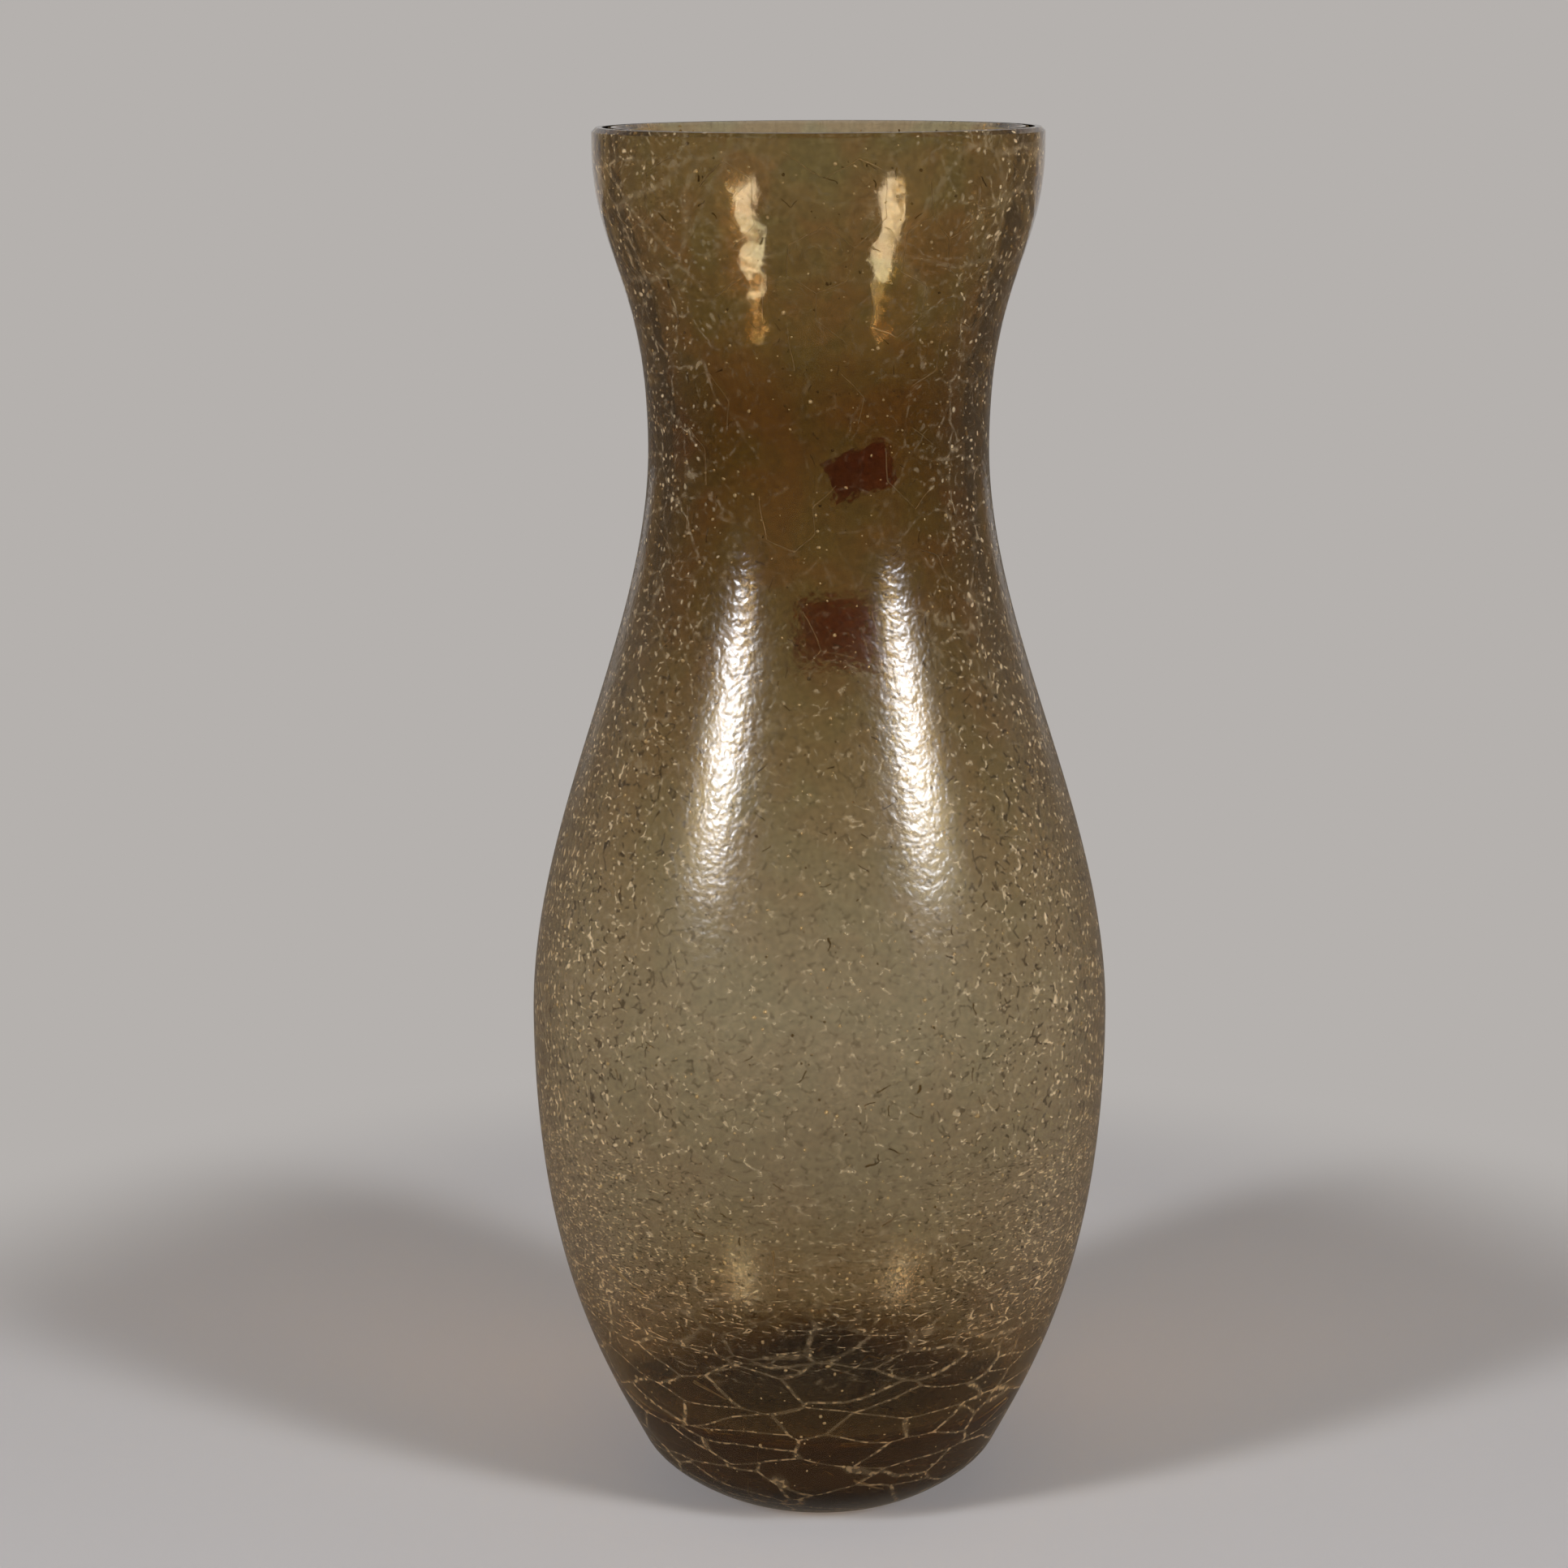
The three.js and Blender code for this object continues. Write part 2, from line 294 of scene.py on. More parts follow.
def turning_tree():
    """Turns an outline round the Z axis: a grid with one column for each step round and one row for
    each point. The attribute inside is 1 on the points past the outer surface, and 0 before."""
    tree, given = new_tree("turned_glass", {
        "Steps round": ROUND_STEPS, "Outside points": 0, "Sharp above": math.radians(30), "Material": None,
    })
    rows = add(
        tree, "GeometryNodeAttributeDomainSize", [given["Geometry"]], component="MESH",
    ).outputs["Point Count"]
    columns = add(tree, MATH, [given["Steps round"], 1], operation="ADD")
    grid = add(tree, "GeometryNodeMeshGrid", {"Vertices X": columns, "Vertices Y": rows})
    index = add(tree, "GeometryNodeInputIndex")
    row = add(tree, MATH, [index, rows], operation="MODULO")
    column = add(tree, MATH, [add(tree, MATH, [index, rows], operation="DIVIDE")], operation="FLOOR")
    point = add(tree, "GeometryNodeSampleIndex", {
        "Geometry": given["Geometry"], "Value": add(tree, "GeometryNodeInputPosition"), "Index": row,
    }, data_type="FLOAT_VECTOR", domain="POINT")
    share_round = add(tree, MATH, [column, given["Steps round"]], operation="DIVIDE")
    turned = add(tree, "ShaderNodeVectorRotate", {
        "Vector": point, "Angle": add(tree, MATH, [share_round, math.tau], operation="MULTIPLY"),
    }, rotation_type="Z_AXIS")
    last_outside = add(tree, MATH, [given["Outside points"], 0.5], operation="SUBTRACT")
    inside = add(
        tree, "FunctionNodeCompare", [row, last_outside], operation="GREATER_THAN", data_type="FLOAT")
    marked = add(tree, "GeometryNodeStoreNamedAttribute", {
        "Geometry": grid, "Name": "inside", "Value": inside,
    }, data_type="FLOAT", domain="POINT")
    moved = add(tree, "GeometryNodeSetPosition", {"Geometry": marked, "Position": turned})
    closed = add(tree, "GeometryNodeMergeByDistance", {"Geometry": moved, "Distance": 0.001 * MM})
    rounded = add(tree, "GeometryNodeSetShadeSmooth", {
        "Geometry": closed, "Shade Smooth": True,
    }, domain="FACE")
    angle = add(tree, "GeometryNodeInputMeshEdgeAngle").outputs["Unsigned Angle"]
    corner = add(tree, "FunctionNodeCompare", [angle, given["Sharp above"]], operation="GREATER_THAN")
    creased = add(tree, "GeometryNodeSetShadeSmooth", {
        "Geometry": rounded, "Selection": corner, "Shade Smooth": False,
    }, domain="EDGE")
    give_out(tree, creased, given["Material"])
    return tree


def crack_tree():
    """Cracks inside the glass: an irregular net of cells, with many of its edges left out, is drawn flat
    over the unrolled wall. Each line left becomes a thin closed sliver that stands on edge in the glass,
    and all are then wrapped round the vase along its outline, with the seam at the back."""
    tree, given = new_tree("crackle", {
        "Around": math.tau * 65 * MM, "Cell": 5 * MM, "Uneven": 0.35,
        "Kept low": 0.6, "Kept middle": 0.6, "Kept high": 0.6, "Middle at": 0.5,
        "Step": 1 * MM, "Wave": 3 * MM, "Wander": 0.8 * MM,
        "Depth": 1 * MM, "Opening": 0.08 * MM, "Lean": 0.5, "Buried": 0.1 * MM,
        "Seed": 1, "Material": None,
    })
    # The net of uneven cells
    outline = add(tree, "GeometryNodeMeshToCurve", [given["Geometry"]])
    length = add(tree, "GeometryNodeCurveLength", [outline])
    cells_round = add(tree, MATH, [given["Around"], given["Cell"]], operation="DIVIDE")
    row_height = add(tree, MATH, [given["Cell"], math.sqrt(3) / 2], operation="MULTIPLY")
    cells_up = add(tree, MATH, [length, row_height], operation="DIVIDE")
    rows = add(tree, MATH, [cells_up], operation="ROUND")
    grid = add(tree, "GeometryNodeMeshGrid", {
        "Size X": given["Around"], "Size Y": length,
        "Vertices X": add(tree, MATH, [cells_round], operation="ROUND"), "Vertices Y": rows,
    })
    row = add(tree, MATH, [add(tree, "GeometryNodeInputIndex"), rows], operation="MODULO")
    odd_row = add(tree, MATH, [row, 2], operation="MODULO")
    half_cell = add(tree, MATH, [given["Cell"], 0.5], operation="MULTIPLY")
    aside = add(tree, MATH, [odd_row, half_cell], operation="MULTIPLY")
    stagger = add(tree, "ShaderNodeCombineXYZ", {"X": aside})
    scatter = add(tree, "FunctionNodeRandomValue", {
        0: (-1, -1, 0), 1: (1, 1, 0), "Seed": given["Seed"],
    }, data_type="FLOAT_VECTOR")
    reach = add(tree, MATH, [given["Cell"], given["Uneven"]], operation="MULTIPLY")
    shifted = add(tree, VECTORS, {0: scatter, "Scale": reach}, operation="SCALE")
    uneven = add(tree, "GeometryNodeSetPosition", {
        "Geometry": grid, "Offset": add(tree, VECTORS, [stagger, shifted], operation="ADD"),
    })
    cells = add(tree, "GeometryNodeDualMesh", [add(tree, "GeometryNodeTriangulate", [uneven])])

    # The edges that are kept, as lines that wander
    place = add(tree, "GeometryNodeInputPosition")
    flat = add(tree, "ShaderNodeSeparateXYZ", [place]).outputs
    half_length = add(tree, MATH, [length, 0.5], operation="MULTIPLY")
    risen = add(tree, MATH, [flat["Y"], half_length], operation="ADD")
    share_up = add(tree, MATH, [risen, length], operation="DIVIDE")
    lower = add(tree, RANGE, {
        "Value": share_up, "From Max": given["Middle at"],
        "To Min": given["Kept low"], "To Max": given["Kept middle"],
    }, **SOFT)
    upper = add(tree, RANGE, {
        "Value": share_up, "From Min": given["Middle at"],
        "To Max": add(tree, MATH, [given["Kept high"], given["Kept middle"]], operation="SUBTRACT"),
    }, **SOFT)
    kept = add(tree, MATH, [lower, upper], operation="ADD")
    dropped = add(tree, "FunctionNodeRandomValue", {
        "Probability": add(tree, MATH, [1.0, kept], operation="SUBTRACT"),
        "Seed": add(tree, MATH, [given["Seed"], 1], operation="ADD"),
    }, data_type="BOOLEAN")
    broken = add(tree, "GeometryNodeDeleteGeometry", {
        "Geometry": cells, "Selection": dropped,
    }, domain="EDGE", mode="ALL")
    lines = add(tree, "GeometryNodeMeshToCurve", [broken])
    stepped = add(tree, "GeometryNodeResampleCurve", {
        "Curve": lines, "Length": given["Step"],
    }, mode="LENGTH")
    sway, slant, unevenness = [
        add(tree, NOISE, {
            "Vector": place, "Detail": detail,
            "Scale": add(tree, MATH, [pace, given["Wave"]], operation="DIVIDE"),
        })
        for pace, detail in ((1.0, 1.0), (0.7, 1.0), (1.3, 2.0))
    ]
    centred = add(tree, VECTORS, [sway.outputs["Color"], (0.5, 0.5, 0.5)], operation="SUBTRACT")
    swayed = add(tree, VECTORS, {0: centred, "Scale": given["Wander"]}, operation="SCALE")
    wandering = add(tree, "GeometryNodeSetPosition", {
        "Geometry": stepped, "Offset": add(tree, VECTORS, [swayed, (4, 4, 0)], operation="MULTIPLY"),
    })

    # A sliver on edge along each line, deepest in its middle
    upright = add(tree, "GeometryNodeSetCurveNormal", [wandering], mode="Z_UP")
    leaning = add(tree, MATH, [slant, 0.5], operation="SUBTRACT")
    most_lean = add(tree, MATH, [given["Lean"], 4], operation="MULTIPLY")
    tilted = add(tree, "GeometryNodeSetCurveTilt", {
        "Curve": upright, "Tilt": add(tree, MATH, [leaning, most_lean], operation="MULTIPLY"),
    })
    along_line = add(tree, "GeometryNodeSplineParameter").outputs["Factor"]
    left_of_line = add(tree, MATH, [1.0, along_line], operation="SUBTRACT")
    arch = add(tree, MATH, [along_line, left_of_line], operation="MULTIPLY")
    lens = add(tree, MATH, [add(tree, MATH, [arch, 4.0], operation="MULTIPLY")], operation="SQRT")
    rough_depth = add(tree, RANGE, {
        "Value": unevenness, "From Min": 0.3, "From Max": 0.7, "To Min": 0.35,
    })
    deepness = add(tree, MATH, [lens, rough_depth], operation="MULTIPLY")
    swelling = add(tree, "GeometryNodeSetCurveRadius", {
        "Curve": tilted, "Radius": add(tree, MATH, [deepness, 0.12], operation="MAXIMUM"),
    })
    half_depth = add(tree, MATH, [given["Depth"], 0.5], operation="MULTIPLY")
    half_opening = add(tree, MATH, [given["Opening"], 0.5], operation="MULTIPLY")
    square = add(tree, "GeometryNodeCurvePrimitiveCircle", {"Resolution": 4, "Radius": 1.0}, mode="RADIUS")
    stretch = add(tree, "ShaderNodeCombineXYZ", [half_opening, half_depth, 1.0])
    section = add(tree, "GeometryNodeSetPosition", {
        "Geometry": square, "Position": add(tree, VECTORS, [place, stretch], operation="MULTIPLY"),
    })
    slivers = add(tree, "GeometryNodeCurveToMesh", {
        "Curve": swelling, "Profile Curve": section, "Fill Caps": True,
    })

    # All of them wrapped round the vase
    wound = add(tree, "GeometryNodeSampleCurve", {
        "Curves": outline, "Length": risen,
    }, mode="LENGTH").outputs
    along = add(tree, "ShaderNodeSeparateXYZ", [wound["Tangent"]]).outputs
    inward = add(tree, "ShaderNodeCombineXYZ", {
        "X": add(tree, MATH, [along["Z"], -1.0], operation="MULTIPLY"), "Z": along["X"],
    })
    middle_depth = add(tree, MATH, [half_depth, given["Buried"]], operation="ADD")
    sinking = add(tree, VECTORS, {
        0: inward, "Scale": add(tree, MATH, [flat["Z"], middle_depth], operation="ADD"),
    }, operation="SCALE")
    share_round = add(tree, MATH, [flat["X"], given["Around"]], operation="DIVIDE")
    turn = add(tree, MATH, [share_round, math.tau], operation="MULTIPLY")
    wrapped = add(tree, "ShaderNodeVectorRotate", {
        "Vector": add(tree, VECTORS, [wound["Position"], sinking], operation="ADD"),
        "Angle": add(tree, MATH, [turn, math.pi / 2], operation="SUBTRACT"),
    }, rotation_type="Z_AXIS")
    placed = add(tree, "GeometryNodeSetPosition", {"Geometry": slivers, "Position": wrapped})
    give_out(tree, placed, given["Material"])
    return tree


def fleck_tree():
    """Small round flecks scattered in the glass below a surface, uneven in size, where the tips of
    cracks show. Most are near the smallest size."""
    tree, given = new_tree("flecks", {
        "For each square metre": 10000.0, "Smallest": 0.1 * MM, "Largest": 0.5 * MM,
        "Below surface": 1 * MM, "Seed": 1, "Material": None,
    })
    scattered = add(tree, "GeometryNodeDistributePointsOnFaces", {
        "Mesh": given["Geometry"], "Density": given["For each square metre"], "Seed": given["Seed"],
    })
    sunk = add(tree, VECTORS, {
        0: scattered.outputs["Normal"],
        "Scale": add(tree, MATH, [given["Below surface"], -1.0], operation="MULTIPLY"),
    }, operation="SCALE")
    points = add(tree, "GeometryNodeSetPosition", {"Geometry": scattered, "Offset": sunk})
    size_seed, shape_seed, turn_seed = [
        add(tree, MATH, [given["Seed"], i], operation="ADD") for i in (1, 2, 3)
    ]
    chance = add(tree, "FunctionNodeRandomValue", {2: 0.0, 3: 1.0, "Seed": size_seed}, data_type="FLOAT")
    mostly_small = add(tree, MATH, [chance, 2.5], operation="POWER")
    spread = add(tree, MATH, [given["Largest"], given["Smallest"]], operation="SUBTRACT")
    size = add(tree, MATH, [mostly_small, spread, given["Smallest"]], operation="MULTIPLY_ADD")
    uneven = add(tree, "FunctionNodeRandomValue", {
        0: (0.6, 0.6, 0.6), 1: (1.4, 1.4, 1.4), "Seed": shape_seed,
    }, data_type="FLOAT_VECTOR")
    turned = add(tree, "FunctionNodeRandomValue", {
        0: (0, 0, 0), 1: (math.tau, math.tau, math.tau), "Seed": turn_seed,
    }, data_type="FLOAT_VECTOR")
    bead = add(tree, "GeometryNodeMeshIcoSphere", {"Radius": 1.0, "Subdivisions": 1})
    placed = add(tree, "GeometryNodeInstanceOnPoints", {
        "Points": points, "Rotation": turned,
        "Instance": add(tree, "GeometryNodeSetShadeSmooth", {"Geometry": bead}, domain="FACE"),
        "Scale": add(tree, VECTORS, {0: uneven, "Scale": size}, operation="SCALE"),
    })
    give_out(tree, placed, given["Material"])
    return tree


# Materials

def new_material(name):
    """An empty material and its tree."""
    material = bpy.data.materials.new(name)
    material.use_nodes = True
    material.node_tree.nodes.clear()
    return material, material.node_tree


def grain(tree, size, detail=1.0):
    """Soft noise from 0 to 1 in the material, whose grains are about this size across."""
    place = add(tree, "ShaderNodeTexCoord").outputs["Object"]
    return add(tree, NOISE, {"Vector": place, "Scale": 1 / size, "Detail": detail})


def by_height(tree, *stops):
    """A value that passes smoothly from one stop to the next as the glass rises: pairs of a height in
    millimetres and a value."""
    place = add(tree, "ShaderNodeTexCoord").outputs["Object"]
    height = add(tree, "ShaderNodeSeparateXYZ", [place]).outputs["Z"]
    value = stops[0][1]
    for (low, start), (high, end) in zip(stops, stops[1:]):
        change = add(tree, RANGE, {
            "Value": height, "From Min": low * MM, "From Max": high * MM, "To Max": end - start,
        }, **SOFT)
        value = add(tree, MATH, [value, change], operation="ADD")
    return value


def glass_material(name, absorbed, shadow, fused_inside, waves, matt, stain=None, crackle=None):
    """Clear or tinted glass: the colour comes from absorption in its thickness. Where one glass is fused
    to the other there is no surface to see: light passes straight on, apart from the crackle. Lamps shine
    through with a tint."""
    material, tree = new_material(name)
    glass = add(tree, "ShaderNodeBsdfPrincipled", {
        "Base Color": stain(tree) if stain else WHITE, "Roughness": matt(tree),
        "IOR": GLASS_INDEX, "Transmission Weight": 1.0,
        "Normal": add(tree, "ShaderNodeBump", {"Strength": 1.0, "Distance": 1.0, "Height": waves(tree)}),
    })
    lamp_light = add(tree, "ShaderNodeBsdfTransparent", {"Color": linear(shadow)})
    in_shadow = add(tree, "ShaderNodeLightPath").outputs["Is Shadow Ray"]
    surface = add(tree, MIXED_LIGHT, [in_shadow, glass, lamp_light])
    inside = add(tree, "ShaderNodeAttribute", attribute_name="inside").outputs["Fac"]
    fused = add(tree, MATH, [inside, 0.5], operation="GREATER_THAN" if fused_inside else "LESS_THAN")
    no_surface = add(tree, "ShaderNodeBsdfTransparent", {"Color": WHITE})
    seam = crackle(tree, no_surface) if crackle else no_surface
    density = max(absorbed) * DENSITY_MARGIN
    tint = add(tree, "ShaderNodeVolumeAbsorption", {
        "Color": (*[1 - share / density for share in absorbed], 1.0), "Density": density / MM,
    })
    add(tree, "ShaderNodeOutputMaterial", {
        "Surface": add(tree, MIXED_LIGHT, [fused, surface, seam]), "Volume": tint,
    })
    return material


def crackled_outside(tree):
    """The outside, chilled in water and blown out again: uneven ripples 2 mm across that feather the
    reflections of the lamps, and soft waves 12 mm across that bend them. Both are in metres of height."""
    ripple_height = by_height(tree, (60, 0.01 * MM), (120, 0.15 * MM), (250, 0.15 * MM), (330, 0.04 * MM))
    ripple = add(tree, MATH, [grain(tree, 2 * MM), ripple_height], operation="MULTIPLY")
    return add(tree, MATH, [grain(tree, 12 * MM), 0.2 * MM, ripple], operation="MULTIPLY_ADD")


def chilled_skin(tree):
    """The outside is a little silky, clearer at the foot and towards the flare, but the crackle just
    under it stays sharp."""
    return by_height(tree, (50, 0.05), (110, 0.21), (250, 0.22), (310, 0.08))


def gentle_waves(tree):
    """The inside of hand-blown glass is smooth but never quite even: waves about 35 mm long and a few
    hundredths of a millimetre high, with shorter and higher ones, 9 mm long, where the flare was opened."""
    flare_height = by_height(tree, (290, 0.0), (340, 0.5 * MM))
    flared = add(tree, MATH, [grain(tree, 9 * MM), flare_height], operation="MULTIPLY")
    return add(tree, MATH, [grain(tree, 35 * MM), 0.05 * MM, flared], operation="MULTIPLY_ADD")


def blown_inside(tree):
    """The inside, never touched by a tool, is silky over the belly, where it hides what stands behind
    the vase, and clear in the flare, which was worked last in the flame."""
    return by_height(tree, (50, 0.03), (120, 0.2), (190, 0.14), (310, 0.07))


def uneven_stain(tree):
    """Amber glass is never one colour: smokier round the neck and the heel, with olive and reddish clouds
    about 16 mm across, stronger where the glass is thick, and soft grain about 2.5 mm across where the
    torn plates hold more or less of it."""
    smoky = add(tree, "ShaderNodeMix", {
        "Factor": by_height(tree, (40, 1.0), (70, 0.4), (130, 0.0), (212, 0.22), (285, 0.72),
                            (318, 1.0), (350, 0.4), (400, 0.3)),
        FIRST: WHITE, SECOND: linear("#C8B190"),
    }, **COLOURS)
    reddish = add(tree, RANGE, {"Value": grain(tree, 16 * MM), "From Min": 0.42, "From Max": 0.58}, **SOFT)
    hue = add(tree, "ShaderNodeMix", {
        "Factor": reddish, FIRST: linear("#F0F8EA"), SECOND: linear("#FFF1E2"),
    }, **COLOURS)
    cloud = add(tree, "ShaderNodeMix", {
        "Factor": by_height(tree, (belly.y / MM, 0.3), (neck.y / MM, 1.0)), FIRST: smoky, SECOND: hue,
    }, blend_type="MULTIPLY", **COLOURS)
    shade = add(tree, RANGE, {
        "Value": grain(tree, 2.5 * MM), "From Min": 0.35, "From Max": 0.65, "To Min": 0.8,
    })
    return add(tree, "ShaderNodeMix", {
        "Factor": 1.0, FIRST: cloud, SECOND: shade,
    }, blend_type="MULTIPLY", **COLOURS)


def crackle_place(tree, flattening, sways):
    """Where the crackle is drawn: Object coordinates, pressed flat low down, where the cracks run along
    the circles of the body, and swayed so that the lines wander. Each sway is a wave's length and reach."""
    place = add(tree, "ShaderNodeTexCoord").outputs["Object"]
    height = add(tree, "ShaderNodeSeparateXYZ", [place]).outputs["Z"]
    low_part = add(tree, MATH, [height, FLAT_CELLS_BELOW], operation="MINIMUM")
    pressed = add(tree, "ShaderNodeCombineXYZ", {
        "Z": add(tree, MATH, [low_part, flattening], operation="MULTIPLY"),
    })
    flat = add(tree, VECTORS, [place, pressed], operation="ADD")
    for wave, reach in sways:
        sway = add(tree, NOISE, {"Vector": place, "Scale": 1 / wave, "Detail": 0.0}).outputs["Color"]
        flat = add(tree, VECTORS, [sway, (reach, reach, reach), flat], operation="MULTIPLY_ADD")
    return flat


def drawn_cracks(tree, place, cell, width, broken, *stops):
    """Crack lines along the edges of uneven cells, from 0 to 1 and as strong as the stops say by height.
    They thin out and stop where soft noise from 0 to 1 is lower than broken."""
    distance = add(tree, "ShaderNodeTexVoronoi", {
        "Vector": place, "Scale": 1 / cell,
    }, feature="DISTANCE_TO_EDGE").outputs["Distance"]
    there = add(tree, RANGE, {
        "Value": add(tree, NOISE, {"Vector": place, "Scale": 1.5 / cell, "Detail": 0.0}),
        "From Min": broken - 0.1, "From Max": broken + 0.1, "To Max": width / 2 / cell,
    }, **SOFT)
    lines = add(tree, RANGE, {
        "Value": add(tree, MATH, [there, distance], operation="SUBTRACT"), "From Max": 0.4 * width / cell,
    }, **SOFT)
    return add(tree, MATH, [lines, by_height(tree, *stops)], operation="MULTIPLY")


def specks(tree, place, spacing, size, share, *stops):
    """Dots from 0 to 1, as strong as the stops say by height: one in the middle of this share of the
    cells this far apart, some faint and some bright."""
    cells = add(tree, "ShaderNodeTexVoronoi", {
        "Vector": place, "Scale": 1 / spacing,
    }, feature="F1").outputs
    chance = add(tree, "ShaderNodeSeparateColor", [cells["Color"]]).outputs
    over = add(tree, MATH, [chance["Red"], 1 - share], operation="SUBTRACT")
    chosen = add(tree, MATH, [over, 0.0], operation="MAXIMUM")
    radius = add(tree, MATH, [chosen, size / share / spacing], operation="MULTIPLY")
    dots = add(tree, RANGE, {
        "Value": add(tree, MATH, [radius, cells["Distance"]], operation="SUBTRACT"),
        "From Max": 0.5 * size / spacing,
    }, **SOFT)
    brightness = add(tree, MATH, [chance["Green"]], operation="SQRT")
    shown = add(tree, MATH, [brightness, by_height(tree, *stops)], operation="MULTIPLY")
    return add(tree, MATH, [dots, shown], operation="MULTIPLY")


def crackle_film(tree, no_surface):
    """The crackle where the casing grips the torn amber glass. Dark lines are painted reflection: a dark
    brown tint in the glass that stands for cracks mirroring the dark room. Pale lines and specks are torn
    edges that catch the lamps, and the brighter stretches along the pale lines are painted glints. Fine
    broken lines 4 mm apart cover the belly, cells 14 mm across lie faint above it and stronger below it,
    and cells 23 mm across, drawn calmer and nearly whole, cover the bottom. All stand deep in the glass, so
    they show more where it is seen aslant, and most at the sides, where a little haze comes with them."""
    place = crackle_place(tree, NARROW_FLATTENING, ((14 * MM, 7 * MM), (3.5 * MM, 2 * MM)))
    calm_place = crackle_place(tree, WIDE_FLATTENING, ((20 * MM, 9 * MM), (6 * MM, 1.2 * MM)))
    fine = drawn_cracks(
        tree, place, 3.6 * MM, 0.85 * MM, 0.48, (55, 0.0), (80, 1.0), (230, 1.0), (290, 0.25))
    middling = drawn_cracks(
        tree, place, 14 * MM, 1.2 * MM, 0.36,
        (48, 0.0), (68, 0.9), (100, 0.5), (130, 0.25), (220, 0.2), (300, 0.35))
    wide = drawn_cracks(
        tree, calm_place, 23 * MM, 1.9 * MM, 0.2, (50, 0.75), (90, 0.0), (330, 0.0), (370, 0.3))
    dots = specks(tree, place, 4 * MM, 0.8 * MM, 0.5, (48, 0.15), (72, 1.0))
    side_dots = specks(tree, place, 2.1 * MM, 1.0 * MM, 0.8, (45, 0.1), (75, 1.0))

    # Which fine lines are pale, and a painted glint: soft noise that makes some stretches of a pale line
    # brighter
    pale = add(tree, RANGE, {"Value": grain(tree, 2.2 * MM), "From Min": 0.46, "From Max": 0.54}, **SOFT)
    painted_glint = add(tree, RANGE, {
        "Value": grain(tree, 2 * MM), "From Min": 0.42, "From Max": 0.66, "To Min": 0.12,
    }, **SOFT)
    facing = add(tree, "ShaderNodeLayerWeight", {"Blend": 0.5}).outputs["Facing"]
    aslant = add(tree, RANGE, {
        "Value": facing, "From Max": 0.22, "To Min": by_height(tree, (230, 0.3), (280, 0.15)),
    }, **SOFT)
    at_the_sides = add(tree, RANGE, {"Value": facing, "From Min": 0.02, "From Max": 0.24}, **SOFT)

    # The pale lines and dots
    # Painted glints along the wide lines, never below about a third of full strength
    wide_painted_glint = add(tree, MATH, [painted_glint, 0.32], operation="MAXIMUM")
    wide_lines = add(tree, MATH, [wide, wide_painted_glint], operation="MULTIPLY")
    fine_lines = add(tree, MATH, [fine, pale], operation="MULTIPLY")
    thin_lines = add(tree, MATH, [middling, fine_lines], operation="MAXIMUM")
    painted_glinting = add(tree, MATH, [thin_lines, painted_glint], operation="MULTIPLY")
    lines = add(tree, MATH, [wide_lines, painted_glinting], operation="MAXIMUM")
    marks = add(tree, MATH, [lines, dots], operation="MAXIMUM")
    marks_aslant = add(tree, MATH, [marks, aslant], operation="MULTIPLY")
    at_the_edge = add(tree, MATH, [side_dots, at_the_sides], operation="MULTIPLY")
    torn = add(tree, MATH, [marks_aslant, at_the_edge], operation="MAXIMUM")
    golden = add(tree, "ShaderNodeMix", {
        "Factor": by_height(tree, (40, 0.0), (100, 1.0)),
        FIRST: linear("#EBCB98"), SECOND: linear("#F6E2BC"),
    }, **COLOURS)
    torn_glass = add(tree, MIXED_LIGHT, [
        0.5,
        add(tree, "ShaderNodeBsdfDiffuse", {"Color": golden}),
        add(tree, "ShaderNodeBsdfTranslucent", {"Color": golden}),
    ])

    # The dark lines, a painted reflection of the dark room in the cracks, in glass that is a little mottled
    mottled = add(tree, RANGE, {
        "Value": grain(tree, 1.5 * MM, 2.0), "From Min": 0.36, "From Max": 0.6, "To Min": 0.9,
    })
    not_pale = add(tree, MATH, [1.0, pale], operation="SUBTRACT")
    painted_reflection_lines = add(tree, MATH, [fine, not_pale], operation="MULTIPLY")
    painted_reflection_strength = add(tree, MATH, [aslant, 0.25], operation="MAXIMUM")
    dark = add(tree, MIXED_LIGHT, [
        add(tree, MATH, [painted_reflection_lines, painted_reflection_strength], operation="MULTIPLY"),
        add(tree, "ShaderNodeBsdfTransparent", {"Color": mottled}),
        add(tree, "ShaderNodeBsdfTransparent", {"Color": linear("#6A563A")}),
    ])

    # The haze of cracks too small to see, brown in the thick base
    side_haze = add(tree, MATH, [
        add(tree, MATH, [at_the_sides, 2.0], operation="POWER"),
        by_height(tree, (30, 0.03), (90, 0.07), (240, 0.05), (290, 0.02)),
    ], operation="MULTIPLY")
    base_haze = by_height(tree, (20, 0.1), (50, 0.02), (70, 0.0))
    haze_colour = add(tree, "ShaderNodeMix", {
        "Factor": by_height(tree, (40, 0.0), (90, 1.0)),
        FIRST: linear("#A0703C"), SECOND: linear("#EADAC0"),
    }, **COLOURS)
    hazy = add(tree, MIXED_LIGHT, [
        add(tree, MATH, [base_haze, side_haze], operation="MAXIMUM"),
        dark,
        add(tree, "ShaderNodeBsdfDiffuse", {"Color": haze_colour}),
    ])

    film = add(tree, MIXED_LIGHT, [torn, hazy, torn_glass])
    in_shadow = add(tree, "ShaderNodeLightPath").outputs["Is Shadow Ray"]
    return add(tree, MIXED_LIGHT, [in_shadow, film, no_surface])


clear_glass = glass_material(
    "clear_blown_glass", CLEAR_ABSORPTION, "#F6F5F3", True, crackled_outside, chilled_skin)
amber_glass = glass_material(
    "amber_crackle_glass", AMBER_ABSORPTION, "#AD9C89", False, gentle_waves, blown_inside,
    stain=uneven_stain, crackle=crackle_film)


